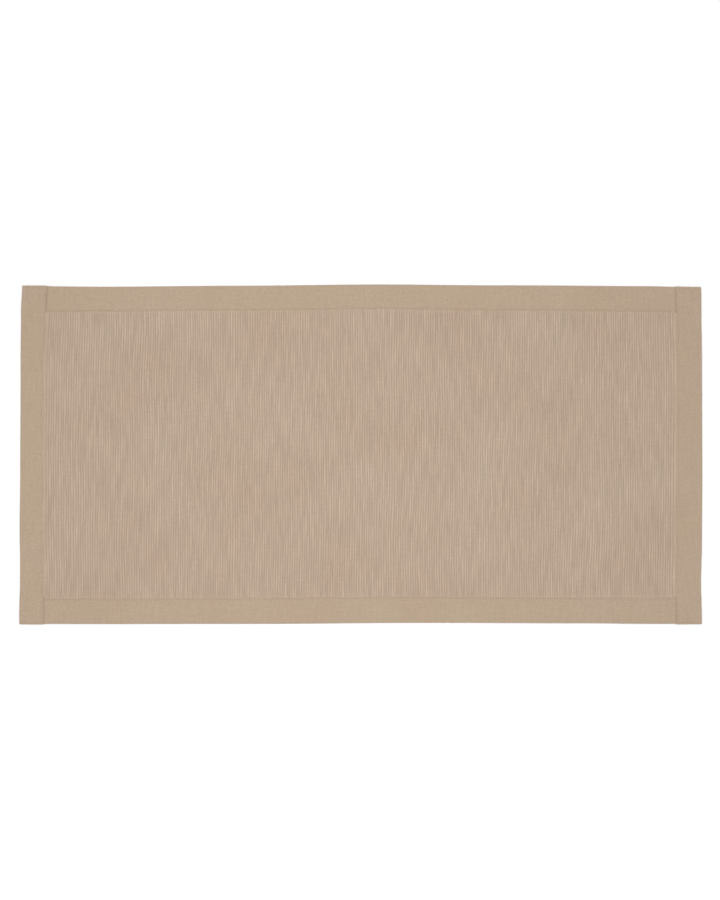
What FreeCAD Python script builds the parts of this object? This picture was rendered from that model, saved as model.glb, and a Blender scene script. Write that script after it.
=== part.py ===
"""A table runner: a ribbed centre cloth edged on all four sides with folded strips of plain cloth.

Millimetres. X runs along the runner, Y across it and Z up. The origin is on the surface that the
runner lies on, under its middle. The two long strips are sewn on first. The two end strips run the
full width, lap over the long strips' ends, and are closed at their own ends. Each row of lockstitch
has two continuous threads, a needle thread above and a bobbin thread below, drawn down flush into
the cloth. The runner lies on its four corners, where an end strip is folded round a long strip and
the cloth is thickest.
"""

import FreeCAD
import Part
import Sketcher

import math
import os

Vector = FreeCAD.Vector

os.makedirs("parts", exist_ok=True)
doc = FreeCAD.newDocument("table_runner")

# ---------------------------------------------------------------- driving dimensions

DIMENSIONS = (
    ("runner_length", 900, "overall, along X, from end fold to end fold"),
    ("runner_width", 447, "overall, along Y, over the closed ends of the end strips"),
    ("border_width", 32.5, "every strip, from its fold to its inner edge"),
    ("panel_cloth", 1.2, "thickness of the ribbed centre cloth"),
    ("strip_cloth", 0.6, "thickness of each side of a folded strip, its turned-in edge pressed flat"),
    ("lay_gap", 0.1, "play between a fold and what lies inside it"),
    ("stitch_inset", 2, "from a strip's inner edge to its stitch row"),
    ("closing_inset", 3, "from a closed end to its stitch row, and from the row's end to the fold"),
    ("row_gap", 1, "from a closing row to the seam row beside it, so that the two don't cross"),
    ("thread_size", 0.3, "width and height of a laid thread"),
    ("thread_slack", 0.05, "play between a thread and the sides of its channel"),
)

sheet = doc.addObject("Spreadsheet::Sheet", "Sizes")
for row, (alias, value, meaning) in enumerate(DIMENSIONS, start=1):
    sheet.set(f"A{row}", alias)
    sheet.set(f"B{row}", str(value))
    sheet.set(f"C{row}", meaning)
    sheet.setAlias(f"B{row}", alias)
doc.recompute()

# Sizes worked out from the driving ones. Heights are measured from the middle of the cloth.
PANEL_HALF = "(Sizes.panel_cloth / 2)"
BORDER_HALF = "(Sizes.panel_cloth / 2 + Sizes.strip_cloth)"
CORNER_HALF = "(Sizes.panel_cloth / 2 + 2 * Sizes.strip_cloth)"
LONG_STRIP_REACH = "(Sizes.runner_width / 2 - Sizes.strip_cloth - Sizes.lay_gap)"
END_STRIP_REACH = "(Sizes.runner_length / 2)"
CLOTH_END = f"({END_STRIP_REACH} - {CORNER_HALF} - Sizes.lay_gap)"
PANEL_HALF_WIDTH = f"({LONG_STRIP_REACH} - {BORDER_HALF} - Sizes.lay_gap)"
LONG_ROW = f"({LONG_STRIP_REACH} - Sizes.border_width + Sizes.stitch_inset)"
END_ROW = f"({END_STRIP_REACH} - Sizes.border_width + Sizes.stitch_inset)"
CLOSING_ROW = "(Sizes.runner_width / 2 - Sizes.closing_inset)"
# Along an end strip, from its middle: its step up onto the long strip, the run after it, and its closed end.
CORNER_START = f"({LONG_STRIP_REACH} - Sizes.border_width - Sizes.lay_gap)"
STEP_START = f"({CORNER_START} - Sizes.strip_cloth)"
CLOSED_END = "(Sizes.runner_width / 2 - Sizes.strip_cloth)"

# Each side's turn about Z from the back (+Y) side, in degrees.
SIDE_ANGLES = {"back": 0, "left": 90, "front": 180, "right": -90}
LONG_SIDES = ("back", "front")
END_SIDES = ("left", "right")
Z_AXIS = Vector(0, 0, 1)
START, END, CENTRE = 1, 2, 3
ORIGIN = (-1, 1)
X_AXIS = -1


def size(expression):
    """The value of one of the expressions above, in millimetres."""
    return float(sheet.evalExpression(expression))


# ---------------------------------------------------------------- sketches and pads

def origin_plane(body, role):
    """The body's own origin plane that has this role."""
    return next(plane for plane in body.Origin.OriginFeatures if plane.Role == role)


def add_sketch(body, name, role, offset="0"):
    """An empty sketch on one of the body's origin planes, moved along the plane's normal."""
    sketch = body.newObject("Sketcher::SketchObject", name)
    sketch.AttachmentSupport = [(origin_plane(body, role), "")]
    sketch.MapMode = "FlatFace"
    sketch.setExpression("AttachmentOffset.Base.z", offset)
    return sketch


def constrain(sketch, constraints):
    """Adds constraints, each a tuple of the Sketcher's own arguments."""
    for constraint in constraints:
        sketch.addConstraint(Sketcher.Constraint(*constraint))


def bind(sketch, name, expression, *constraint):
    """Adds a dimension with a name of its own, bound to the sheet."""
    index = sketch.addConstraint(Sketcher.Constraint(*constraint, size(expression)))
    sketch.renameConstraint(index, name)
    sketch.setExpression(f"Constraints.{name}", expression)


def add_pad(body, name, sketch, length):
    """Pads a sketch along its plane's normal."""
    pad = body.newObject("PartDesign::Pad", name)
    pad.Profile = sketch
    pad.setExpression("Length", length)
    return pad


def join_in_ring(count):
    """Constraints that join each line's end to the next line's start."""
    return [("Coincident", index, END, (index + 1) % count, START) for index in range(count)]


def draw_cloth_outline(sketch):
    """The centre cloth seen from above: a rectangle about the origin."""
    half_length = size(CLOTH_END)
    half_width = size(PANEL_HALF_WIDTH)
    corners = [
        Vector(-half_length, -half_width),
        Vector(half_length, -half_width),
        Vector(half_length, half_width),
        Vector(-half_length, half_width),
    ]
    for start, end in zip(corners, corners[1:] + corners[:1]):
        sketch.addGeometry(Part.LineSegment(start, end), False)
    constrain(sketch, join_in_ring(4))
    constrain(sketch, [("Horizontal", 0), ("Vertical", 1), ("Horizontal", 2), ("Vertical", 3)])
    constrain(sketch, [("Symmetric", 0, START, 1, END, *ORIGIN)])
    bind(sketch, "cloth_length", f"2 * {CLOTH_END}", "DistanceX", 0, START, 0, END)
    bind(sketch, "cloth_width", f"2 * {PANEL_HALF_WIDTH}", "DistanceY", 1, START, 1, END)


def draw_folded_section(sketch, outer_half, inner_half, bend):
    """A strip's section: a U on its side, level on both sides, its inner edge one width from the origin.

    The fold's two arcs share a centre, which lies this bend inside the origin.
    """
    inner_edge = -size("Sizes.border_width")
    outer = size(outer_half)
    inner = size(inner_half)
    centre = Vector(-size(bend), 0)
    outline = [
        Part.LineSegment(Vector(inner_edge, outer), Vector(centre.x, outer)),
        Part.ArcOfCircle(Part.Circle(centre, Z_AXIS, outer), -math.pi / 2, math.pi / 2),
        Part.LineSegment(Vector(centre.x, -outer), Vector(inner_edge, -outer)),
        Part.LineSegment(Vector(inner_edge, -outer), Vector(inner_edge, -inner)),
        Part.LineSegment(Vector(inner_edge, -inner), Vector(centre.x, -inner)),
        Part.ArcOfCircle(Part.Circle(centre, Z_AXIS, inner), -math.pi / 2, math.pi / 2),
        Part.LineSegment(Vector(centre.x, inner), Vector(inner_edge, inner)),
        Part.LineSegment(Vector(inner_edge, inner), Vector(inner_edge, outer)),
    ]
    top, fold, bottom, lower_lip, inner_bottom, inner_fold, inner_top, upper_lip = range(8)
    sketch.addGeometry(outline, False)
    constrain(sketch, [
        ("Coincident", top, END, fold, END),
        ("Coincident", fold, START, bottom, START),
        ("Coincident", bottom, END, lower_lip, START),
        ("Coincident", lower_lip, END, inner_bottom, START),
        ("Coincident", inner_bottom, END, inner_fold, START),
        ("Coincident", inner_fold, END, inner_top, START),
        ("Coincident", inner_top, END, upper_lip, START),
        ("Coincident", upper_lip, END, top, START),
        ("Coincident", inner_fold, CENTRE, fold, CENTRE),
        ("PointOnObject", fold, CENTRE, X_AXIS),
        ("Vertical", lower_lip),
        ("Vertical", upper_lip),
        ("Vertical", lower_lip, START, upper_lip, END),
    ])
    constrain(sketch, [("Horizontal", side) for side in (top, bottom, inner_bottom, inner_top)])
    for arc in (fold, inner_fold):
        constrain(sketch, [("Vertical", arc, tip, arc, CENTRE) for tip in (START, END)])
    bind(sketch, "width", "Sizes.border_width", "DistanceX", lower_lip, START, *ORIGIN)
    bind(sketch, "bend", bend, "DistanceX", fold, CENTRE, *ORIGIN)
    bind(sketch, "outer_radius", outer_half, "Radius", fold)
    bind(sketch, "inner_radius", inner_half, "Radius", inner_fold)


def draw_closed_section(sketch, outer_half):
    """The section of a strip's turned-in end: the folded section's outline, filled."""
    inner_edge = -size("Sizes.border_width")
    outer = size(outer_half)
    centre = Vector(-outer, 0)
    outline = [
        Part.LineSegment(Vector(inner_edge, outer), Vector(centre.x, outer)),
        Part.ArcOfCircle(Part.Circle(centre, Z_AXIS, outer), -math.pi / 2, math.pi / 2),
        Part.LineSegment(Vector(centre.x, -outer), Vector(inner_edge, -outer)),
        Part.LineSegment(Vector(inner_edge, -outer), Vector(inner_edge, outer)),
    ]
    top, fold, bottom, lip = range(4)
    sketch.addGeometry(outline, False)
    constrain(sketch, [
        ("Coincident", top, END, fold, END),
        ("Coincident", fold, START, bottom, START),
        ("Coincident", bottom, END, lip, START),
        ("Coincident", lip, END, top, START),
        ("Horizontal", top),
        ("Horizontal", bottom),
        ("Vertical", lip),
        ("Vertical", fold, START, fold, CENTRE),
        ("PointOnObject", fold, CENTRE, X_AXIS),
    ])
    bind(sketch, "width", "Sizes.border_width", "DistanceX", lip, START, *ORIGIN)
    bind(sketch, "bend", outer_half, "DistanceX", fold, CENTRE, *ORIGIN)
    bind(sketch, "outer_radius", outer_half, "Radius", fold)


# ---------------------------------------------------------------- cloth bodies

def add_centre_cloth():
    """A flat cloth that reaches nearly into the folds of all four strips."""
    body = doc.addObject("PartDesign::Body", "centre_cloth")
    sketch = add_sketch(body, "centre_cloth_outline", "XY_Plane")
    draw_cloth_outline(sketch)
    add_pad(body, "centre_cloth_thickness", sketch, "Sizes.panel_cloth")
    body.setExpression("Placement.Base.z", f"{CORNER_HALF} - {PANEL_HALF}")
    return body


def place_on_side(body, side, reach):
    """Turns a strip to its side of the runner, with its fold out at this reach."""
    angle = SIDE_ANGLES[side]
    outward = FreeCAD.Rotation(Z_AXIS, angle).multVec(Vector(0, 1, 0))
    body.Placement = FreeCAD.Placement(Vector(0, 0, 0), FreeCAD.Rotation(Z_AXIS, angle))
    body.setExpression("Placement.Base.x", f"{round(outward.x)} * {reach}")
    body.setExpression("Placement.Base.y", f"{round(outward.y)} * {reach}")
    body.setExpression("Placement.Base.z", CORNER_HALF)


def add_long_strip(side):
    """A strip folded over a long edge, cut square where the end strips cover it."""
    body = doc.addObject("PartDesign::Body", f"strip_{side}")
    sketch = add_sketch(body, f"strip_{side}_section", "YZ_Plane", f"-{CLOTH_END}")
    draw_folded_section(sketch, BORDER_HALF, PANEL_HALF, BORDER_HALF)
    add_pad(body, f"strip_{side}_run", sketch, f"2 * {CLOTH_END}")
    place_on_side(body, side, LONG_STRIP_REACH)
    return body


def add_end_strip(side):
    """A strip folded over a short edge. It steps up onto the long strips and is closed at both ends."""
    body = doc.addObject("PartDesign::Body", f"strip_{side}")
    middle = add_sketch(body, f"strip_{side}_middle", "YZ_Plane", f"-{STEP_START}")
    draw_folded_section(middle, BORDER_HALF, PANEL_HALF, CORNER_HALF)
    add_pad(body, f"strip_{side}_middle_run", middle, f"2 * {STEP_START}")

    step = add_sketch(body, f"strip_{side}_step", "YZ_Plane", STEP_START)
    draw_folded_section(step, CORNER_HALF, PANEL_HALF, CORNER_HALF)
    step_run = add_pad(body, f"strip_{side}_step_run", step, "Sizes.strip_cloth")

    corner = add_sketch(body, f"strip_{side}_corner", "YZ_Plane", CORNER_START)
    draw_folded_section(corner, CORNER_HALF, BORDER_HALF, CORNER_HALF)
    corner_run = add_pad(body, f"strip_{side}_corner_run", corner, f"{CLOSED_END} - {CORNER_START}")

    closed = add_sketch(body, f"strip_{side}_closed", "YZ_Plane", CLOSED_END)
    draw_closed_section(closed, CORNER_HALF)
    closed_run = add_pad(body, f"strip_{side}_closed_run", closed, "Sizes.strip_cloth")

    doc.recompute()
    other_corner = body.newObject("PartDesign::Mirrored", f"strip_{side}_other_corner")
    other_corner.Originals = [step_run, corner_run, closed_run]
    other_corner.MirrorPlane = (origin_plane(body, "YZ_Plane"), [""])
    body.Tip = other_corner
    place_on_side(body, side, END_STRIP_REACH)
    return body


# ---------------------------------------------------------------- threads

def laid_thread(start, end, floor, steps=(), slack=0):
    """One row's upper thread as a solid along X, with the middle of the cloth at z = 0.

    It lies in a channel whose floor is at this height. Each step is a place and the floor beyond it,
    and the thread climbs on the low side of the step. With some slack it is the channel instead.
    """
    height = sheet.thread_size + slack
    half_width = sheet.thread_size / 2 + slack
    under = [(start - slack, floor)]
    over = [(start - slack, floor + height)]
    for place, floor_beyond in steps:
        climb = place + math.copysign(height, floor - floor_beyond)
        under += [(place, floor), (place, floor_beyond)]
        over += [(climb, floor + height), (climb, floor_beyond + height)]
        floor = floor_beyond
    under.append((end + slack, floor))
    over.append((end + slack, floor + height))
    outline = [Vector(x, -half_width, z) for x, z in under + over[::-1]]
    face = Part.Face(Part.makePolygon(outline + outline[:1]))
    return face.extrude(Vector(0, 2 * half_width, 0))


def lower_thread(*row, **options):
    """A row's lower thread, or its channel: the upper one turned upside down."""
    return laid_thread(*row, **options).mirror(Vector(0, 0, 0), Z_AXIS)


THREAD_MAKERS = {"needle": laid_thread, "bobbin": lower_thread}


def put(shape, angle, across):
    """Moves a row out from the middle of the runner to its side, at the cloth's own height."""
    shape.translate(Vector(0, across, size(CORNER_HALF)))
    shape.rotate(Vector(0, 0, 0), Z_AXIS, angle)
    return shape


def seam_row(side):
    """A side's row: its place out from the middle of the runner and the laid_thread arguments."""
    floor = size(BORDER_HALF) - sheet.thread_size
    if side in LONG_SIDES:
        end = size(CLOTH_END) - sheet.stitch_inset
        return size(LONG_ROW), (-end, end, floor)
    corner_floor = size(CORNER_HALF) - sheet.thread_size
    end = size(CLOSING_ROW) - sheet.row_gap
    step = size(STEP_START)
    return size(END_ROW), (-end, end, corner_floor, [(-step, floor), (step, corner_floor)])


def closing_rows():
    """The short rows at the four corners: angle, place across the runner, laid_thread arguments."""
    floor = size(CORNER_HALF) - sheet.thread_size
    start = size(END_ROW) + sheet.row_gap
    end = size(END_STRIP_REACH) - sheet.closing_inset
    return [
        (SIDE_ANGLES[side], size(CLOSING_ROW), (*span, floor))
        for side in LONG_SIDES
        for span in ((start, end), (-end, -start))
    ]


def add_shape(name, shape):
    """A Part::Feature that holds a worked-out shape."""
    feature = doc.addObject("Part::Feature", name)
    feature.Shape = shape
    return feature


def sew(side, body):
    """A strip with the channels that its threads are drawn down into."""
    rows = [(SIDE_ANGLES[side], *seam_row(side))]
    if side in END_SIDES:
        rows += closing_rows()
    channels = [
        put(make_thread(*row, slack=sheet.thread_slack), angle, across)
        for make_thread in THREAD_MAKERS.values()
        for angle, across, row in rows
    ]
    strip = doc.addObject("Part::Cut", f"border_{side}")
    strip.Base = body
    strip.Tool = add_shape(f"border_{side}_channels", Part.makeCompound(channels))
    return strip


# ---------------------------------------------------------------- the runner

def build_runner():
    """All sub-parts, each labelled with its node's name."""
    centre_cloth = add_centre_cloth()
    centre_cloth.Label = "ribbed_panel"
    nodes = [centre_cloth]
    nodes += [sew(side, add_long_strip(side)) for side in LONG_SIDES]
    nodes += [sew(side, add_end_strip(side)) for side in END_SIDES]
    for kind, make_thread in THREAD_MAKERS.items():
        for side in LONG_SIDES + END_SIDES:
            across, row = seam_row(side)
            solid = put(make_thread(*row), SIDE_ANGLES[side], across)
            nodes.append(add_shape(f"{kind}_thread_{side}", solid))
        closing = [put(make_thread(*row), angle, across) for angle, across, row in closing_rows()]
        nodes.append(add_shape(f"closing_{kind}_threads", Part.makeCompound(closing)))
    return nodes


def check(nodes):
    """Stops before anything is written if an object failed or a sub-part isn't sound."""
    for item in doc.Objects:
        if "Invalid" in item.State or "Error" in item.State:
            raise RuntimeError(f"{item.Label} failed: {item.State}")
    for node in nodes:
        if node.Shape.isNull() or not node.Shape.isValid():
            raise RuntimeError(f"{node.Label} has no sound shape")
        if node.isDerivedFrom("Part::Cut") and node.Shape.Volume >= node.Base.Shape.Volume:
            raise RuntimeError(f"{node.Label} lost nothing to its channels")


nodes = build_runner()
doc.recompute()
check(nodes)
for node in nodes:
    node.Shape.exportStep(f"parts/{node.Label}.step")
    print(f"{node.Label}: {len(node.Shape.Solids)} solids, {node.Shape.Volume:.0f} mm3")
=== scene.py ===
"""A ribbed cotton table runner with folded plain borders, laid flat, seen from straight above."""

import math

import bpy
import numpy as np
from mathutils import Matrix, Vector


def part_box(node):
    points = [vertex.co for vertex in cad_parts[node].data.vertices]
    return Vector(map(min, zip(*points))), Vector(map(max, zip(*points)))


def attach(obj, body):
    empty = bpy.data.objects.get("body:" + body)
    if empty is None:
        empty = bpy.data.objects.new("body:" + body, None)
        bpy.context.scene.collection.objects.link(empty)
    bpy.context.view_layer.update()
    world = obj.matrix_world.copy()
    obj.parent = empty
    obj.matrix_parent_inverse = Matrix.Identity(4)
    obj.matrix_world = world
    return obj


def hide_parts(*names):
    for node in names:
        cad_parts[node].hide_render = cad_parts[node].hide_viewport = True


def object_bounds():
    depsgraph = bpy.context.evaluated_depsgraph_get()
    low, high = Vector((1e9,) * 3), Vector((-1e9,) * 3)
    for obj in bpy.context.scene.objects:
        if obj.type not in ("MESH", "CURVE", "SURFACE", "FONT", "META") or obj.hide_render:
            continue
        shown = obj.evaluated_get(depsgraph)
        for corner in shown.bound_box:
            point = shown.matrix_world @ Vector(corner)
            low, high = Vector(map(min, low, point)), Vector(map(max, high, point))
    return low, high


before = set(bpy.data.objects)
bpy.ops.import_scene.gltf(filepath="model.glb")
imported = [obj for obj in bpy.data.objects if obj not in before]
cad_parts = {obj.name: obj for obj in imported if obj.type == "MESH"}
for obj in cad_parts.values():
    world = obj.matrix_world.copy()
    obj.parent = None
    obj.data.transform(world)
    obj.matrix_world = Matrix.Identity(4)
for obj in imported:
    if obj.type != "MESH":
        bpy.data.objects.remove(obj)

CAD_LOW, CAD_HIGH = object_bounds()
MM = 0.001
rng = np.random.default_rng(7)

# ---------------------------------------------------------------- sizes from the frame, in millimetres

def node_box(node):
    """A CAD node's lowest and highest corner, in millimetres."""
    low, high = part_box(node)
    return np.array(low) / MM, np.array(high) / MM


LENGTH = (CAD_HIGH.x - CAD_LOW.x) / MM
WIDTH = (CAD_HIGH.y - CAD_LOW.y) / MM
PANEL_LOW, PANEL_HIGH = node_box("ribbed_panel")
LONG_EDGE = node_box("border_back")[0][1]
LONG_REACH = node_box("border_back")[1][1]
LONG_HALF_LENGTH = node_box("border_back")[1][0]
END_EDGE = node_box("border_right")[0][0]
BORDER = LENGTH / 2 - END_EDGE
PANEL_CLOTH = PANEL_HIGH[2] - PANEL_LOW[2]
STRIP_CLOTH = ((CAD_HIGH.z - CAD_LOW.z) / MM - PANEL_CLOTH) / 4
STITCH_INSET = node_box("needle_thread_back")[0][1] - LONG_EDGE
CLOSING_Y = node_box("closing_needle_threads")[1][1]
# Each side's name, whether it is an end strip, and the sign of its place along its axis.
SIDES = (("back", False, 1), ("front", False, -1), ("left", True, -1), ("right", True, 1))
# Each thread's kind, and the face that it shows on.
FACES = (("needle", 1), ("bobbin", -1))

# ---------------------------------------------------------------- sizes chosen here, in millimetres

RIB_PITCH = 3.17
RIB_HEIGHT = 0.5
COLUMNS_PER_RIB = 5
# How much of the upper ribs' height the ribs on the underside have.
UNDERSIDE_RIBS = 0.6
# Below 1, the crests are broad and the furrows narrow.
CREST_SHAPE = 0.8
# How uneven the ribs' widths are, and their heights.
RIB_WIDTH_SPREAD = 0.05
RIB_STRENGTH_SPREAD = 0.07
# Each rib also fades and swells along its length, by this much for each of these wavelengths.
FADE = 0.17
FADE_WAVELENGTHS = (120, 84, 60)
FADE_WAVELENGTH_RANGE = (0.8, 1.25)
RIB_STRENGTH_RANGE = (0.35, 1.45)
# How far the ribs wander from straight, and how near an end strip they start to straighten.
WANDER = 0.55
STRAIGHTEN_REACH = 45
# Where the ribbed cloth's rows near a long strip lie, outwards from the strip's inner edge. Even rows
# start this far inwards from it, and run to the middle of the runner.
STEP_ROWS = (29, 0.9, -0.4, -2.5, -7, -14)
OPEN_ROWS_START = 26
OPEN_ROWS = 11

# The ironed cloth lies in broad, low waves. The least gap leaves room under it for the stitches and the
# pressed edges, which come down nearly to the table.
LEAST_GAP = 0.7
BROAD_RISE = 0.3
BROAD_WAVE = 0.22
PRESS_WAVE = 0.08
# How far a cloth's step over a strip's edge spreads sideways, beside the edge and right over it.
SAG_REACH = 7.0
STEP_REACH = 1.6
# A step reaches its full height this far outwards from the strip's inner edge.
COVER_OVERLAP = 0.2

# How far the stitches press a strip's inner edge into the ribs, over what width, and how much less where
# an end strip laps a long one.
LIP_PRESS = 0.38
LIP_PRESS_WIDTH = 1.8
LAP_RELIEF = 0.6
# How full the stitches press the furrows beside a strip's inner edge, how far in, and how widely.
MATTED = 0.85
MATTED_INSET = 0.7
MATTED_WIDTH = 1.1
# The groove along a stitch row: its depth, how much that beats with the stitches, and its width.
GROOVE_DEPTH = 0.13
GROOVE_BEAT = 0.06
GROOVE_WIDTH = 0.7
# The turned-in edge under a strip's face: how far it stands out, and where it rises and falls again. These
# places are measured inwards from the stitch row, so negative ones are towards the fold.
TURNED_IN_RISE = 0.24
TURNED_IN_START = (-9.5, -5)
TURNED_IN_END = (0.6, 2.2)
# The puckers beside a stitch row: height, shift along the stitches (radians), distance towards the fold
# and width.
PUCKER = 0.05
PUCKER_SHIFT = 1.3
PUCKER_PLACE = 2.5
PUCKER_WIDTH = 2.4
# How much of the upper face's relief the underside has.
UNDERSIDE_RELIEF = 0.4
# Small unevenness of a strip's face. The underside takes it from another place.
CREPE_WAVE = 0.03
STRIP_WAVE = 0.05
UNDERSIDE_SHIFT = 900

# A strip's section: where its flat faces start, inwards from the fold, how many even rows they have, and
# where those stop before the stitch row. Then the rows near the stitches, inwards from the stitch row, the
# angles at the lips (in degrees) and the rows round the fold.
FACE_START = 2.2
FACE_ROWS = 9
FACE_ROWS_STOP = 10.5
ROWS_NEAR_STITCHES = (-8.5, -7, -5.5, -4, -2.8, -1.9, -1.2, -0.6, 0, 0.6, 1.2)
LIP_ANGLES = (-80, -40, 0, 35, 70)
FOLD_ROWS = 11
STEPS_PER_STITCH = 3
# An end strip's closed ends: the step to the second row, and the distances from the end where the strip is
# shut and where it is fully open.
CLOSED_END_STEP = 0.3
SHUT_START = -0.55
SHUT_REACH = 2.0

STITCH_LENGTH = 3.5
STITCH_SIDES = 6
THREAD = 0.42
# Where the rows that close the end strips start, inwards from the fold.
CLOSING_INSET = 3
# Between a closing row and the seam row beside it.
ROW_GAP = 1
# One stitch's rings, as shares of its half length.
STITCH_RINGS = (-1, -0.86, -0.55, 0, 0.55, 0.86, 1)
# How much thinner its ends are, how deep they go (in threads), and its height as a share of its width.
STITCH_TAPER = 0.35
STITCH_DIVE = 1.1
STITCH_FLATNESS = 0.85
# How much of its length along the row it spans, how far it leans, and how high it lies (in threads).
STITCH_SPAN = 0.93
STITCH_LEAN = 0.05
STITCH_LIFT = 0.42
# How unevenly the stitches lean, and lie in height.
STITCH_SWAY = 0.012
STITCH_LIFT_SPREAD = 0.02

# ---------------------------------------------------------------- looks

PANEL_COLOUR = (0.406, 0.298, 0.222, 1)
PANEL_WARM = (0.4, 0.318, 0.243, 1)
STRIP_COLOUR = (0.398, 0.294, 0.211, 1)
STRIP_WARM = (0.393, 0.307, 0.223, 1)
THREAD_COLOUR = (0.416, 0.317, 0.236, 1)
# Yarn pitches along X and along Y, in metres.
PANEL_YARNS = (0.00085, 0.00048)
STRIP_YARNS = (0.0005, 0.00054)
# How deep the yarns and the thread's plies are, and the length of one turn of the plies, in metres.
YARN_DEPTH = 0.00012
PLY_DEPTH = 0.00008
PLY_PITCH = 0.0006
# Noises: how the coordinates are stretched, the scale and the detail.
SLUBS_ALONG = ((420, 36, 1), 1.0, 3.0)
SLUBS_ACROSS = ((30, 700, 1), 1.0, 3.0)
DYE_AND_BROAD_SHADE = ((1, 1, 1), 9.0, 3.0)
FIBRE = ((1, 1, 1), 900.0, 4.0)
MOTTLE = ((1, 1, 1), 330.0, 3.0)
FLECK = ((1, 1, 1), 260.0, 2.0)
# How far each swings the colour. The mesh's shade, which is low in furrows and crevices, paints shade into
# the colour there: it swings it by "furrow" in all, and leaves it alone where the shade is "furrow_level".
RIBBED_SWINGS = {"slubs": 0.28, "mottle": 0.14, "furrow": 0.24, "furrow_level": 0.65}
PLAIN_SWINGS = {"slubs": 0.12, "mottle": 0.24, "furrow": 0.3, "furrow_level": 1}
SLUBS_ACROSS_SWING = 0.12
FIBRE_SWING = 0.16
# The broad dyeing noise swings the brightness partly as uneven dyeing and partly as painted shade of the
# cloth's broad waves.
DYE_AND_BROAD_SHADE_SWING = 0.09
# The weave and the plies are painted lighter on their crowns and darker, as shade, in the hollows between
# them.
WEAVE_SWING = 0.14
WEAVE_LEVEL = 0.91
PLY_SWING = 0.12
FLECK_SWING = 0.2
# Roughness from the lowest up, and how much fibre and slubs add to the height of the weave.
ROUGHNESS_LOW = 0.84
ROUGHNESS_SWING = 0.12
FIBRE_RELIEF = 0.7
SLUB_RELIEF = 0.6
# Painted shade: how much darker an end strip is painted in the crevice of its lapped lip, over this many
# millimetres, and how much darker a long strip is painted beside an end strip's edge, as its contact
# shadow.
LAP_SHADE = 0.7
CREVICE_WIDTH = 0.6
UNDER_LAP_SHADE = 0.4

# ---------------------------------------------------------------- light and camera, in metres

FLOOR_HALF = 30.0
# The floor is this far below z = 0, so that nothing that rests there flickers against it.
FLOOR_DROP = 0.0001
FLOOR_COLOUR = (0.95, 0.95, 0.95, 1)
DOME_STRENGTH = 0.87
KEY_STRENGTH = 0.33
KEY_SPREAD = math.radians(45)
KEY_PLACE = Vector((-0.25, 0.9, 3.0))
NEAR_LAMP_POWER = 4.1
NEAR_LAMP_SIZE = 0.7
NEAR_LAMP_PLACE = Vector((-0.05, -0.05, 1.05))
# The camera's lens and sensor, in millimetres.
LENS = 85
SENSOR = 36
# The camera's view is this tall at the table, and the runner's middle lies a little below its middle.
VIEW_HEIGHT = 1.1895
CAMERA_X = -0.0014
CAMERA_Y = 0.0063

# ---------------------------------------------------------------- the outline

# Where the runner's real outline drifts outwards from a true rectangle: (place along the side, drift).
# The places and drifts are millimetres, set from the photo's edges and seams.
BACK_DRIFT = ((-450, -0.3), (-344, -1.0), (-185, 0.1), (26, 1.9), (184, 0.8), (380, -0.3), (450, -2.1))
FRONT_DRIFT = ((-450, 0.3), (-344, 0.7), (-130, 0.4), (80, -0.9), (290, -0.4), (395, 0.5), (450, 0.1))
LEFT_DRIFT = ((-223, 1.2), (-153, 0.2), (-95, 0.8), (-34, 0.0), (124, -0.5), (189, -1.2), (223, -2.8))
RIGHT_DRIFT = ((-223, -0.1), (-170, -1.2), (-113, 0.0), (-34, 0.5), (124, 0.0), (223, -1.0))
# How much wider than the border each strip was folded: (place along the side, extra width).
BACK_SEAM = ((-450, 1.1), (-250, 0.2), (0, 0.1), (250, 0.9), (450, 1.1))
FRONT_SEAM = ((-450, 1.3), (0, 2.1), (250, 1.6), (450, 2.3))
LEFT_SEAM = ((-223, -0.6), (-190, -0.8), (-100, -1.9), (0, -2.8), (110, -2.3), (188, 0.4), (223, 0.4))
RIGHT_SEAM = ((-223, 0.8), (-180, 0.9), (-60, 1.2), (100, 0.1), (223, 1.0))
# The cloth beyond a seam gives way to it over this distance.
SEAM_REACH = 80


def ease(edge_low, edge_high, value):
    """0 below the low edge, 1 above the high one, and smooth between."""
    share = np.clip((value - edge_low) / (edge_high - edge_low), 0, 1)
    return share * share * (3 - 2 * share)


def drift(points, place):
    """A smooth curve through a side's drift points."""
    places, drifts = zip(*points)
    places = np.array(places, float)
    drifts = np.array(drifts, float)
    index = np.clip(np.searchsorted(places, place) - 1, 0, len(places) - 2)
    share = ease(places[index], places[index + 1], place)
    return drifts[index] * (1 - share) + drifts[index + 1] * share


def near_seam(from_fold):
    """1 at a strip's inner edge, falling to 0 at its fold and further in over the ribbed cloth."""
    return ease(0, BORDER, from_fold) * (1 - ease(BORDER, BORDER + SEAM_REACH, from_fold))


def bend_outline(x, y):
    """The place of a point once the runner's outline has drifted from a true rectangle."""
    right = np.clip(x / LENGTH + 0.5, 0, 1)
    back = np.clip(y / WIDTH + 0.5, 0, 1)
    new_x = x + right * drift(RIGHT_DRIFT, y) - (1 - right) * drift(LEFT_DRIFT, y)
    new_y = y + back * drift(BACK_DRIFT, x) - (1 - back) * drift(FRONT_DRIFT, x)
    new_x = new_x + near_seam(x + LENGTH / 2) * drift(LEFT_SEAM, y)
    new_x = new_x - near_seam(LENGTH / 2 - x) * drift(RIGHT_SEAM, y)
    new_y = new_y + near_seam(y + LONG_REACH) * drift(FRONT_SEAM, x)
    new_y = new_y - near_seam(LONG_REACH - y) * drift(BACK_SEAM, x)
    return new_x, new_y


def make_ripples(count, wavelength, spread):
    """Random waves: wave numbers along X and Y, phases and weight. Their sum is about plus or minus 1."""
    angle = rng.uniform(0, math.pi, count)
    number = 2 * math.pi / (wavelength * rng.uniform(1 - spread, 1 + spread, count))
    phase = rng.uniform(0, 2 * math.pi, count)
    return np.cos(angle) * number, np.sin(angle) * number, phase, math.sqrt(2 / count)


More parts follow.
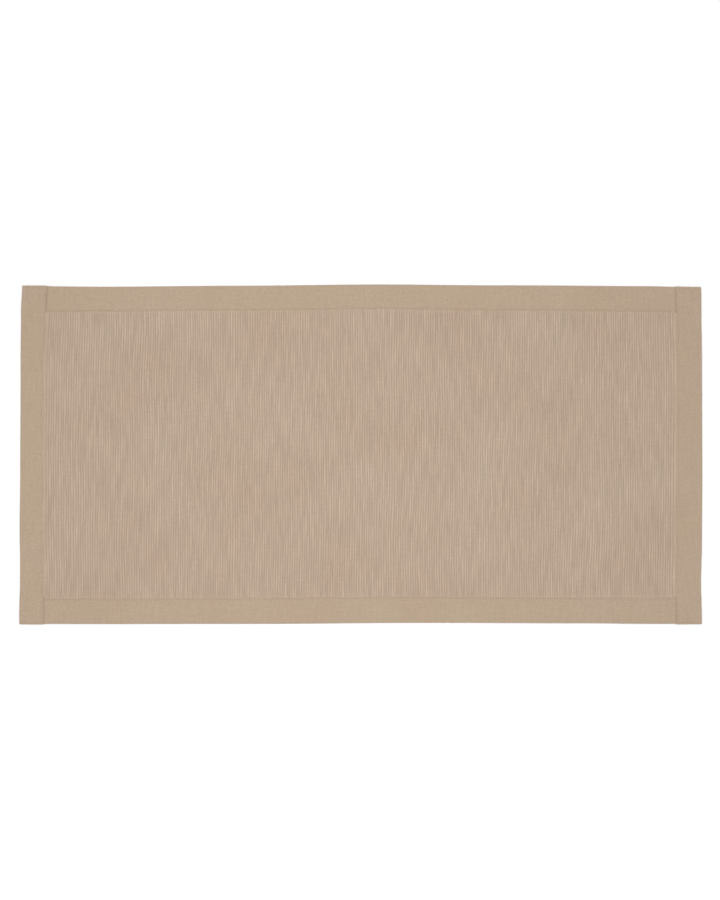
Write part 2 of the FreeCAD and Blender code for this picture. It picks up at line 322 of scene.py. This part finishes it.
def ripple(waves, x, y):
    """The height of a set of ripples at each point."""
    number_x, number_y, phase, weight = waves
    total = np.zeros(np.shape(x))
    for k_x, k_y, start in zip(number_x, number_y, phase):
        total = total + np.sin(k_x * x + k_y * y + start)
    return total * weight


# The cloth's broad waves, the iron's marks, the crepe of the strips and the wander of the ribs.
LAY_WAVES = make_ripples(9, 230, 0.35)
PRESS_WAVES = make_ripples(14, 60, 0.4)
CREPE_WAVES = make_ripples(16, 11, 0.4)
WANDER_WAVES = make_ripples(10, 150, 0.4)


def lay_height(x, y):
    """How far the ironed cloth stands off the table: broad, shallow waves."""
    broad = BROAD_RISE + BROAD_WAVE * ripple(LAY_WAVES, x, y)
    return LEAST_GAP + np.clip(broad, 0, None) + PRESS_WAVE * (1 + ripple(PRESS_WAVES, x, y)) / 2


def long_cover(y, reach):
    """1 where a long strip covers the cloth, falling to 0 over this reach inside its edge."""
    return ease(LONG_EDGE - reach, LONG_EDGE + COVER_OVERLAP, np.abs(y))


def end_cover(x, reach):
    """The same for an end strip."""
    return ease(END_EDGE - reach, END_EDGE + COVER_OVERLAP, np.abs(x))


def middle_height(x, y):
    """The height of the middle of the cloth, which the strips under it lift off the table."""
    under = long_cover(y, SAG_REACH) + end_cover(x, SAG_REACH)
    return lay_height(x, y) + PANEL_CLOTH / 2 + STRIP_CLOTH * under


# ---------------------------------------------------------------- meshes

def build_mesh(name, points, quads, shade):
    """A smooth mesh object from points in millimetres. shade is one number a point, which the material
    paints in as shade: lower numbers are painted darker.
    """
    mesh = bpy.data.meshes.new(name)
    mesh.vertices.add(len(points))
    mesh.vertices.foreach_set("co", (np.asarray(points, dtype=np.float64) * MM).ravel())
    mesh.loops.add(quads.size)
    mesh.loops.foreach_set("vertex_index", quads.ravel().astype(np.int32))
    mesh.polygons.add(len(quads))
    mesh.polygons.foreach_set("loop_start", np.arange(0, quads.size, 4, dtype=np.int32))
    mesh.update(calc_edges=True)
    mesh.validate()
    layer = mesh.attributes.new("shade", "FLOAT", "POINT")
    layer.data.foreach_set("value", np.asarray(shade, dtype=np.float32))
    mesh.polygons.foreach_set("use_smooth", np.ones(len(mesh.polygons), dtype=bool))
    thing = bpy.data.objects.new(name, mesh)
    bpy.context.collection.objects.link(thing)
    return thing


def grid_quads(rows, columns):
    """Quads of a grid whose points run row by row."""
    here = np.arange(rows - 1)[:, None] * columns + np.arange(columns - 1)[None, :]
    there = here + columns
    return np.stack([here, here + 1, there + 1, there], axis=-1).reshape(-1, 4)


def beside(place, edge):
    """1 on the cloth just inside a strip's inner edge, falling to 0 within a few millimetres."""
    return np.exp(-(((np.abs(place) - edge + MATTED_INSET) / MATTED_WIDTH) ** 2))


def end_walls(rows, columns):
    """Quads that close both ends of a folded strip, each joining its upper face to its lower one."""
    upper = np.arange(rows // 2 - 1)
    lower = rows - 1 - upper
    first = np.stack([upper, upper + 1, lower - 1, lower], axis=-1) * columns
    return np.concatenate([first, first[:, ::-1] + columns - 1])


def rib_columns():
    """The columns of the ribbed cloth: each one's place, its rib, and its height from furrow to crest."""
    low, high = PANEL_LOW[0], PANEL_HIGH[0]
    count = int((high - low) / RIB_PITCH)
    widths = 1 + RIB_WIDTH_SPREAD * rng.standard_normal(count)
    starts = low + np.concatenate([[0], np.cumsum(widths)]) * (high - low) / widths.sum()
    shares = np.arange(COLUMNS_PER_RIB) / COLUMNS_PER_RIB
    places = (starts[:-1, None] + shares[None, :] * np.diff(starts)[:, None]).ravel()
    ribs = np.repeat(np.arange(count), COLUMNS_PER_RIB)
    crest = np.tile(np.sin(np.pi * shares) ** CREST_SHAPE, count)
    return np.append(places, high), np.append(ribs, count - 1), np.append(crest, 0)


def panel_rows():
    """The rows of the ribbed cloth, close together where it steps up under the long strips."""
    open_cloth = np.linspace(LONG_EDGE - OPEN_ROWS_START, 0, OPEN_ROWS)
    half = np.concatenate([LONG_EDGE + np.array(STEP_ROWS), open_cloth])
    return np.concatenate([-half[:-1], half[::-1]])


def rib_strength(rib, y):
    """How much each rib stands out: uneven from rib to rib, and along each one."""
    ribs = rib.max() + 1
    strength = 1 + RIB_STRENGTH_SPREAD * rng.standard_normal(ribs)[rib] + 0 * y
    for wavelength in FADE_WAVELENGTHS:
        number = 2 * math.pi / (wavelength * rng.uniform(*FADE_WAVELENGTH_RANGE, ribs))[rib]
        start = rng.uniform(0, 2 * math.pi, ribs)[rib]
        strength = strength + FADE * np.sin(number * y + start)
    return np.clip(strength, *RIB_STRENGTH_RANGE)


def rim_quads(rows, columns):
    """Quads that join the edge of an upper grid to the edge of the lower grid that follows it."""
    edge = np.concatenate([
        np.arange(columns - 1),
        np.arange(rows - 1) * columns + columns - 1,
        (rows - 1) * columns + np.arange(columns - 1, 0, -1),
        np.arange(rows - 1, 0, -1) * columns,
    ])
    after = np.roll(edge, -1)
    below = rows * columns
    return np.stack([edge, edge + below, after + below, after], axis=-1)


def make_panel():
    """The ribbed centre cloth: one closed sheet with ribs on both faces, sagging between the strips."""
    x, rib, crest = rib_columns()
    y = panel_rows()
    rows, columns = len(y), len(x)
    grid_x, grid_y = np.meshgrid(x, y)
    matted = MATTED * np.maximum(beside(grid_x, END_EDGE), beside(grid_y, LONG_EDGE))
    rise = np.maximum(rib_strength(rib, grid_y) * crest, matted)
    height = RIB_HEIGHT * rise
    middle = middle_height(grid_x, grid_y)
    upper = middle + PANEL_CLOTH / 2 - RIB_HEIGHT + height
    lower = middle - PANEL_CLOTH / 2 + (RIB_HEIGHT - height) * UNDERSIDE_RIBS
    wander = WANDER * ripple(WANDER_WAVES, grid_x, grid_y) * (1 - end_cover(grid_x, STRAIGHTEN_REACH))
    new_x, new_y = bend_outline(grid_x + wander, grid_y)
    top = np.stack([new_x, new_y, upper], axis=-1).reshape(-1, 3)
    under = np.stack([new_x, new_y, lower], axis=-1).reshape(-1, 3)
    faces = grid_quads(rows, columns)
    # The shade follows how far each point of the ribs stands up, so the furrows are painted darker as
    # shade.
    shade = rise.ravel()
    return build_mesh(
        "ribbed_cloth",
        np.concatenate([top, under]),
        np.concatenate([faces, len(top) + faces[:, ::-1], rim_quads(rows, columns)]),
        np.concatenate([shade, shade]),
    )


def strip_relief(across, along):
    """How a strip's face stands out or dips: the stitched groove, the turned-in edge and the puckers."""
    from_row = across - (BORDER - STITCH_INSET)
    beat = np.cos(2 * np.pi * along / STITCH_LENGTH)
    groove = -(GROOVE_DEPTH + GROOVE_BEAT * beat) * np.exp(-((from_row / GROOVE_WIDTH) ** 2))
    turned_in = TURNED_IN_RISE * ease(*TURNED_IN_START, from_row) * (1 - ease(*TURNED_IN_END, from_row))
    pucker = PUCKER * np.sin(2 * np.pi * along / STITCH_LENGTH + PUCKER_SHIFT)
    return groove + turned_in + pucker * np.exp(-(((from_row + PUCKER_PLACE) / PUCKER_WIDTH) ** 2))


def strip_section():
    """Round the outside of a strip, lip to lip: distance in from the fold, and angle where it turns.

    Each entry is (part, value): a flat part's value is a distance, and a turn's is its angle.
    """
    row = BORDER - STITCH_INSET
    flat = np.linspace(FACE_START, row - FACE_ROWS_STOP, FACE_ROWS)
    across = np.concatenate([flat, row + np.array(ROWS_NEAR_STITCHES)])
    lip_turn = np.radians(LIP_ANGLES)
    fold_turn = np.radians(np.linspace(90, -90, FOLD_ROWS))
    return (
        [("upper_lip", angle) for angle in lip_turn]
        + [("upper", place) for place in across[::-1]]
        + [("fold", angle) for angle in fold_turn]
        + [("lower", place) for place in across]
        + [("lower_lip", angle) for angle in lip_turn[::-1]]
    )


def strip_place(is_end, sign, across, along):
    """The flat place of a point this far in from a strip's fold and this far along the strip."""
    reach = LENGTH / 2 if is_end else LONG_REACH
    out = sign * (reach - across) + 0 * along
    return (out, along + 0 * out) if is_end else (along + 0 * out, out)


def strip_outer(is_end, x, y):
    """Half the thickness of a strip with all that it holds: more where an end strip holds a long one."""
    over = long_cover(y, STEP_REACH) if is_end else 0 * y
    return PANEL_CLOTH / 2 + STRIP_CLOTH * (1 + over)


def strip_face(is_end, side, x, y, across, along):
    """How far a strip's upper (1) or lower (-1) face stands from the middle of the cloth."""
    relief = strip_relief(across, along) * (1 if side > 0 else UNDERSIDE_RELIEF)
    lapped = long_cover(y, STEP_REACH) if is_end else 0 * y
    press = LIP_PRESS * (1 - LAP_RELIEF * lapped) * ease(BORDER - LIP_PRESS_WIDTH, BORDER, across)
    uneven = CREPE_WAVE * ripple(CREPE_WAVES, x, y)
    uneven = uneven + STRIP_WAVE * ripple(PRESS_WAVES, x + UNDERSIDE_SHIFT * side, y)
    return strip_outer(is_end, x, y) + relief - press + uneven


def strip_run(is_end):
    """Where a strip's rows of points lie along it, and how open the fold is there: 0 is pressed shut."""
    half_length = WIDTH / 2 if is_end else LONG_HALF_LENGTH
    steps = int(2 * half_length / (STITCH_LENGTH / STEPS_PER_STITCH)) + 1
    along = np.linspace(-half_length, half_length, steps)
    if not is_end:
        return along, np.ones(len(along))
    last = half_length - CLOSED_END_STEP
    along = np.concatenate([[-half_length, -last], along[1:-1], [last, half_length]])
    return along, np.sqrt(ease(SHUT_START, SHUT_REACH, half_length - np.abs(along)))


def make_strip(name, is_end, sign):
    """A strip folded over one edge of the runner: its outer face, which Solidify thickens inwards.

    Long strips run along X at plus or minus Y, and end strips along Y at plus or minus X. An end
    strip climbs over the long strips, and its own ends are turned in and pressed shut.
    """
    along, open_share = strip_run(is_end)
    lip_radius = STRIP_CLOTH / 2
    points, shades = [], []
    for part, value in strip_section():
        flat_across = {"fold": 0.0, "upper_lip": BORDER, "lower_lip": BORDER}.get(part, value)
        x, y = strip_place(is_end, sign, flat_across, along)
        outer = strip_outer(is_end, x, y) * open_share
        side = 1 if part.startswith("upper") else -1
        face = strip_face(is_end, side, x, y, flat_across, along) * open_share
        if part == "fold":
            across = outer * (1 - math.cos(value))
            height = outer * math.sin(value)
        elif part.endswith("lip"):
            across = BORDER - lip_radius * (1 - math.cos(value)) + 0 * along
            height = side * (face - lip_radius * (1 - math.sin(value)))
        else:
            across = value + 0 * along
            height = side * face
        x, y = strip_place(is_end, sign, across, along)
        new_x, new_y = bend_outline(x, y)
        points.append(np.stack([new_x, new_y, middle_height(x, y) + height], axis=-1))
        # Painted shade: darker in the crevice of an end strip's lip where it laps a long strip, and as a
        # contact shadow on a long strip beside an end strip's edge.
        painted_crevice_shade = ease(BORDER - CREVICE_WIDTH, BORDER, across) * (part != "fold")
        lapped = long_cover(y, STEP_REACH) if is_end else 0 * y
        painted_contact_shadow = 0 * x if is_end else beside(x, END_EDGE)
        shades.append((1 - LAP_SHADE * lapped * painted_crevice_shade) * (1 - UNDER_LAP_SHADE * painted_contact_shadow))
    faces = grid_quads(len(points), len(along))
    if is_end:
        faces = np.concatenate([faces, end_walls(len(points), len(along))])
    # The section runs the other way round the cloth on these sides, so the faces are turned outwards.
    if sign * (-1 if is_end else 1) < 0:
        faces = faces[:, ::-1]
    strip = build_mesh(name, np.concatenate(points), faces, np.concatenate(shades))
    thickness = strip.modifiers.new("cloth_thickness", "SOLIDIFY")
    thickness.thickness = lip_radius * MM
    thickness.offset = -1
    return strip


def one_stitch(centre, forward, up, length):
    """Points and faces of one laid stitch: a short round thread, arched, its ends going down."""
    side = np.cross(up, forward)
    shares = np.array(STITCH_RINGS)
    angles = np.arange(STITCH_SIDES) * 2 * math.pi / STITCH_SIDES
    points = []
    for share in shares:
        radius = THREAD / 2 * (1 - STITCH_TAPER * abs(share) ** 6)
        middle = centre + forward * share * length / 2 - up * THREAD * STITCH_DIVE * abs(share) ** 5
        for angle in angles:
            outwards = side * math.cos(angle) + up * STITCH_FLATNESS * math.sin(angle)
            points.append(middle + radius * outwards)
    faces = []
    for ring in range(len(shares) - 1):
        for corner in range(STITCH_SIDES):
            here = ring * STITCH_SIDES + corner
            there = ring * STITCH_SIDES + (corner + 1) % STITCH_SIDES
            faces.append([here, there, there + STITCH_SIDES, here + STITCH_SIDES])
    # Each end is closed by quads that join the ring's two halves.
    last_ring = (len(shares) - 1) * STITCH_SIDES
    for base, order in ((0, -1), (last_ring, 1)):
        for corner in range(STITCH_SIDES // 2 - 1):
            opposite = STITCH_SIDES - 1 - corner
            quad = [base + corner, base + corner + 1, base + opposite - 1, base + opposite]
            faces.append(quad[::order])
    return points, faces


def stitch_surface(is_end, sign, across, along, side):
    """A point on a strip's face, moved with the runner's drifted outline."""
    x, y = strip_place(is_end, sign, np.array([across]), np.array([along]))
    x, y = x.astype(float), y.astype(float)
    height = strip_face(is_end, side, x, y, across, along)
    new_x, new_y = bend_outline(x, y)
    return np.array([new_x[0], new_y[0], middle_height(x, y)[0] + side * height[0]])


def make_stitches(name, spans, side):
    """Every stitch of some rows on one face, as one mesh.

    Each span is (is_end, sign, across, along, across, along): the strip it is on, where the row
    starts and where it stops. side is 1 for the needle thread above and -1 for the bobbin thread.
    """
    points, faces = [], []
    for is_end, sign, across, along, last_across, last_along in spans:
        run = math.hypot(last_across - across, last_along - along)
        count = max(1, round(run / STITCH_LENGTH))
        for index in range(count):
            places = []
            for share in (index / count, (index + 1) / count):
                here = across + (last_across - across) * share
                there = along + (last_along - along) * share
                places.append(stitch_surface(is_end, sign, here, there, side))
            start, end = places
            forward = end - start
            length = np.linalg.norm(forward)
            forward = forward / length
            up = np.array([0.0, 0.0, float(side)])
            lean = np.cross(up, forward) * STITCH_LEAN
            forward = forward + lean + np.append(rng.normal(0, STITCH_SWAY, 2), 0)
            forward = forward / np.linalg.norm(forward)
            centre = (start + end) / 2 + up * (STITCH_LIFT * THREAD + rng.normal(0, STITCH_LIFT_SPREAD))
            new_points, new_faces = one_stitch(centre, forward, up, length * STITCH_SPAN)
            faces.extend([[len(points) + corner for corner in face] for face in new_faces])
            points.extend(new_points)
    return build_mesh(name, np.array(points), np.array(faces), np.ones(len(points)))


# ---------------------------------------------------------------- materials

def feed(tree, socket, value):
    """Links a node's input to another node's output, or sets it to a plain value."""
    if isinstance(value, bpy.types.NodeSocket):
        tree.links.new(value, socket)
    else:
        socket.default_value = value


def add_node(tree, kind, **inputs):
    """A shader node with some of its inputs set or linked."""
    node = tree.nodes.new(kind)
    for name, value in inputs.items():
        feed(tree, node.inputs[name], value)
    return node


def do_math(tree, operation, first, second=0.0, third=0.0):
    """The output of a Math node."""
    node = tree.nodes.new("ShaderNodeMath")
    node.operation = operation
    for socket, value in zip(node.inputs, (first, second, third)):
        feed(tree, socket, value)
    return node.outputs[0]


def mix_colour(tree, share, first, second, blend="MIX"):
    """The output of a colour Mix node."""
    node = tree.nodes.new("ShaderNodeMix")
    node.data_type = "RGBA"
    node.blend_type = blend
    node.clamp_factor = True
    for name, value in (("Factor", share), ("A", first), ("B", second)):
        socket = [item for item in node.inputs if item.name == name and item.enabled][0]
        feed(tree, socket, value)
    return [item for item in node.outputs if item.enabled][0]


def noise(tree, coordinates, stretch, scale, detail):
    """Noise from 0 to 1 about a middle of 0.5, stretched by scaling the coordinates."""
    mapping = add_node(tree, "ShaderNodeMapping", Vector=coordinates, Scale=stretch)
    node = add_node(tree, "ShaderNodeTexNoise", Vector=mapping.outputs[0], Scale=scale, Detail=detail)
    return node.outputs[0]


def plain_weave(tree, x, y, pitch_x, pitch_y):
    """The height of plain-woven yarns, from 0 to 1, for places and yarn pitches in metres."""
    u = do_math(tree, "MULTIPLY", x, 1 / pitch_x)
    v = do_math(tree, "MULTIPLY", y, 1 / pitch_y)
    warp = do_math(tree, "ABSOLUTE", do_math(tree, "SINE", do_math(tree, "MULTIPLY", u, math.pi)))
    weft = do_math(tree, "ABSOLUTE", do_math(tree, "SINE", do_math(tree, "MULTIPLY", v, math.pi)))
    cell = do_math(tree, "ADD", do_math(tree, "FLOOR", u), do_math(tree, "FLOOR", v))
    is_warp = do_math(tree, "PINGPONG", cell, 1.0)
    over = do_math(tree, "MULTIPLY", warp, is_warp)
    under = do_math(tree, "MULTIPLY", weft, do_math(tree, "SUBTRACT", 1.0, is_warp))
    return do_math(tree, "ADD", over, under)


def cotton(name, colour, warmer, yarns, swings):
    """Heathered cotton: yarns, slubs along both thread directions, uneven colour that is partly dyeing and
    partly painted broad shade, and painted shade in furrows, crevices and yarn hollows.
    """
    material = bpy.data.materials.new(name)
    material.use_nodes = True
    tree = material.node_tree
    tree.nodes.clear()
    output = tree.nodes.new("ShaderNodeOutputMaterial")
    shader = tree.nodes.new("ShaderNodeBsdfPrincipled")
    tree.links.new(shader.outputs[0], output.inputs["Surface"])
    coordinates = tree.nodes.new("ShaderNodeTexCoord").outputs["Object"]
    place = add_node(tree, "ShaderNodeSeparateXYZ", Vector=coordinates)
    shade = tree.nodes.new("ShaderNodeAttribute")
    shade.attribute_name = "shade"

    weave = plain_weave(tree, place.outputs[0], place.outputs[1], *yarns)
    slubs_along = noise(tree, coordinates, *SLUBS_ALONG)
    slubs_across = noise(tree, coordinates, *SLUBS_ACROSS)
    dye_and_broad_shade = noise(tree, coordinates, *DYE_AND_BROAD_SHADE)
    fibre = noise(tree, coordinates, *FIBRE)
    mottle = noise(tree, coordinates, *MOTTLE)

    # The broad dyeing noise here is partly uneven dyeing and partly painted shade of the cloth's broad
    # waves.
    light = 1.0
    for source, swing in (
        (slubs_along, swings["slubs"]),
        (slubs_across, SLUBS_ACROSS_SWING),
        (mottle, swings["mottle"]),
        (fibre, FIBRE_SWING),
        (dye_and_broad_shade, DYE_AND_BROAD_SHADE_SWING),
    ):
        factor = do_math(tree, "MULTIPLY_ADD", source, swing, 1 - swing / 2)
        light = do_math(tree, "MULTIPLY", factor, light)
    # The yarns are painted lighter on their crowns and darker, as shade, in the hollows between them.
    painted_weave_shade = do_math(tree, "MULTIPLY_ADD", weave, WEAVE_SWING, WEAVE_LEVEL)
    light = do_math(tree, "MULTIPLY", light, painted_weave_shade)
    # Painted shade: the mesh's shade darkens the colour in furrows and crevices.
    furrow_base = 1 - swings["furrow"] * swings["furrow_level"]
    painted_shade = do_math(tree, "MULTIPLY_ADD", shade.outputs["Fac"], swings["furrow"], furrow_base)
    light = do_math(tree, "MULTIPLY", light, painted_shade)
    grey = add_node(tree, "ShaderNodeCombineColor", Red=light, Green=light, Blue=light)
    tone = mix_colour(tree, dye_and_broad_shade, colour, warmer)
    final = mix_colour(tree, 1.0, tone, grey.outputs[0], "MULTIPLY")
    tree.links.new(final, shader.inputs["Base Color"])

    rough = do_math(tree, "MULTIPLY_ADD", fibre, ROUGHNESS_SWING, ROUGHNESS_LOW)
    tree.links.new(rough, shader.inputs["Roughness"])
    relief = do_math(tree, "ADD", weave, do_math(tree, "MULTIPLY", fibre, FIBRE_RELIEF))
    relief = do_math(tree, "ADD", relief, do_math(tree, "MULTIPLY", slubs_along, SLUB_RELIEF))
    bump = add_node(tree, "ShaderNodeBump", Strength=0.55, Distance=YARN_DEPTH, Height=relief)
    tree.links.new(bump.outputs[0], shader.inputs["Normal"])
    shader.inputs["Specular IOR Level"].default_value = 0.2
    shader.inputs["Sheen Weight"].default_value = 0.12
    shader.inputs["Sheen Roughness"].default_value = 0.5
    return material


def sewing_thread(name, colour):
    """Plied polyester sewing thread, a little brighter and smoother than the cloth, painted darker between
    its plies as shade.
    """
    material = bpy.data.materials.new(name)
    material.use_nodes = True
    tree = material.node_tree
    shader = tree.nodes["Principled BSDF"]
    coordinates = tree.nodes.new("ShaderNodeTexCoord").outputs["Object"]
    place = add_node(tree, "ShaderNodeSeparateXYZ", Vector=coordinates)
    lean = do_math(tree, "ADD", place.outputs[0], place.outputs[1])
    ply = do_math(tree, "SINE", do_math(tree, "MULTIPLY", lean, 2 * math.pi / PLY_PITCH))
    ply = do_math(tree, "MULTIPLY_ADD", ply, 0.5, 0.5)
    fleck = noise(tree, coordinates, *FLECK)
    # The plies are painted lighter on their crowns and darker, as shade, between them.
    light = do_math(tree, "MULTIPLY_ADD", ply, PLY_SWING, 1 - PLY_SWING)
    fleck_light = do_math(tree, "MULTIPLY_ADD", fleck, FLECK_SWING, 1 - FLECK_SWING / 2)
    light = do_math(tree, "MULTIPLY", light, fleck_light)
    grey = add_node(tree, "ShaderNodeCombineColor", Red=light, Green=light, Blue=light)
    final = mix_colour(tree, 1.0, colour, grey.outputs[0], "MULTIPLY")
    tree.links.new(final, shader.inputs["Base Color"])
    tree.links.new(do_math(tree, "MULTIPLY_ADD", fleck, 0.2, 0.5), shader.inputs["Roughness"])
    bump = add_node(tree, "ShaderNodeBump", Strength=0.6, Distance=PLY_DEPTH, Height=ply)
    tree.links.new(bump.outputs[0], shader.inputs["Normal"])
    shader.inputs["Specular IOR Level"].default_value = 0.35
    shader.inputs["Sheen Weight"].default_value = 0.1
    return material


# ---------------------------------------------------------------- the runner and its stage

def finish_piece(piece, node, material):
    """Gives a piece its material and body, and hides its CAD node."""
    piece.data.materials.append(material)
    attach(piece, "root")
    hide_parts(node)


def add_runner():
    """All the visible pieces."""
    ribbed = cotton("ribbed_cotton", PANEL_COLOUR, PANEL_WARM, PANEL_YARNS, RIBBED_SWINGS)
    plain = cotton("plain_cotton", STRIP_COLOUR, STRIP_WARM, STRIP_YARNS, PLAIN_SWINGS)
    thread = sewing_thread("sewing_thread", THREAD_COLOUR)

    panel = make_panel()
    finish_piece(panel, "ribbed_panel", ribbed)

    long_end = LONG_HALF_LENGTH - STITCH_INSET
    row = BORDER - STITCH_INSET
    end_stop = CLOSING_Y - ROW_GAP
    closing = []
    for side, is_end, sign in SIDES:
        strip = make_strip(f"{side}_strip", is_end, sign)
        finish_piece(strip, f"border_{side}", plain)
        stop = end_stop if is_end else long_end
        span = (is_end, sign, row, -stop, row, stop)
        for kind, face in FACES:
            stitches = make_stitches(f"{side}_{kind}_stitches", [span], face)
            finish_piece(stitches, f"{kind}_thread_{side}", thread)
        if is_end:
            ends = (-CLOSING_Y, CLOSING_Y)
            closing += [(True, sign, row - ROW_GAP, end, CLOSING_INSET, end) for end in ends]
    for kind, face in FACES:
        stitches = make_stitches(f"closing_{kind}_stitches", closing, face)
        finish_piece(stitches, f"closing_{kind}_threads", thread)


def add_floor():
    """A pale, matte floor."""
    mesh = bpy.data.meshes.new("floor")
    corners = [
        (-FLOOR_HALF, -FLOOR_HALF, 0),
        (FLOOR_HALF, -FLOOR_HALF, 0),
        (FLOOR_HALF, FLOOR_HALF, 0),
        (-FLOOR_HALF, FLOOR_HALF, 0),
    ]
    mesh.from_pydata(corners, [], [(0, 1, 2, 3)])
    floor = bpy.data.objects.new("floor", mesh)
    floor.location.z = -FLOOR_DROP
    bpy.context.collection.objects.link(floor)
    paint = bpy.data.materials.new("floor_paint")
    paint.use_nodes = True
    shader = paint.node_tree.nodes["Principled BSDF"]
    shader.inputs["Base Color"].default_value = FLOOR_COLOUR
    shader.inputs["Roughness"].default_value = 0.9
    shader.inputs["Specular IOR Level"].default_value = 0.0
    mesh.materials.append(paint)


def add_lights():
    """A soft dome, a broad lamp from the back and a near one above."""
    world = bpy.data.worlds.new("soft_dome")
    world.use_nodes = True
    sky = world.node_tree.nodes["Background"]
    sky.inputs["Color"].default_value = (1, 1, 1, 1)
    sky.inputs["Strength"].default_value = DOME_STRENGTH
    bpy.context.scene.world = world

    lamp = bpy.data.lights.new("key", "SUN")
    lamp.angle = KEY_SPREAD
    lamp.energy = KEY_STRENGTH
    key = bpy.data.objects.new("key", lamp)
    key.location = KEY_PLACE
    key.rotation_euler = (-KEY_PLACE).to_track_quat("-Z", "Y").to_euler()
    bpy.context.collection.objects.link(key)

    lamp = bpy.data.lights.new("near_lamp", "AREA")
    lamp.shape = "DISK"
    lamp.size = NEAR_LAMP_SIZE
    lamp.energy = NEAR_LAMP_POWER
    near = bpy.data.objects.new("near_lamp", lamp)
    near.location = NEAR_LAMP_PLACE
    near.visible_camera = False
    bpy.context.collection.objects.link(near)


def add_camera():
    """The camera, straight above as in the photo."""
    camera = bpy.data.cameras.new("camera")
    camera.sensor_width = SENSOR
    camera.lens = LENS
    camera.clip_end = 50
    eye = bpy.data.objects.new("camera", camera)
    eye.location = (CAMERA_X, CAMERA_Y, VIEW_HEIGHT * camera.lens / camera.sensor_width)
    bpy.context.collection.objects.link(eye)
    bpy.context.scene.camera = eye
    bpy.context.scene.view_settings.view_transform = "Standard"
    bpy.context.scene.view_settings.look = "None"


add_runner()
add_floor()
add_lights()
add_camera()
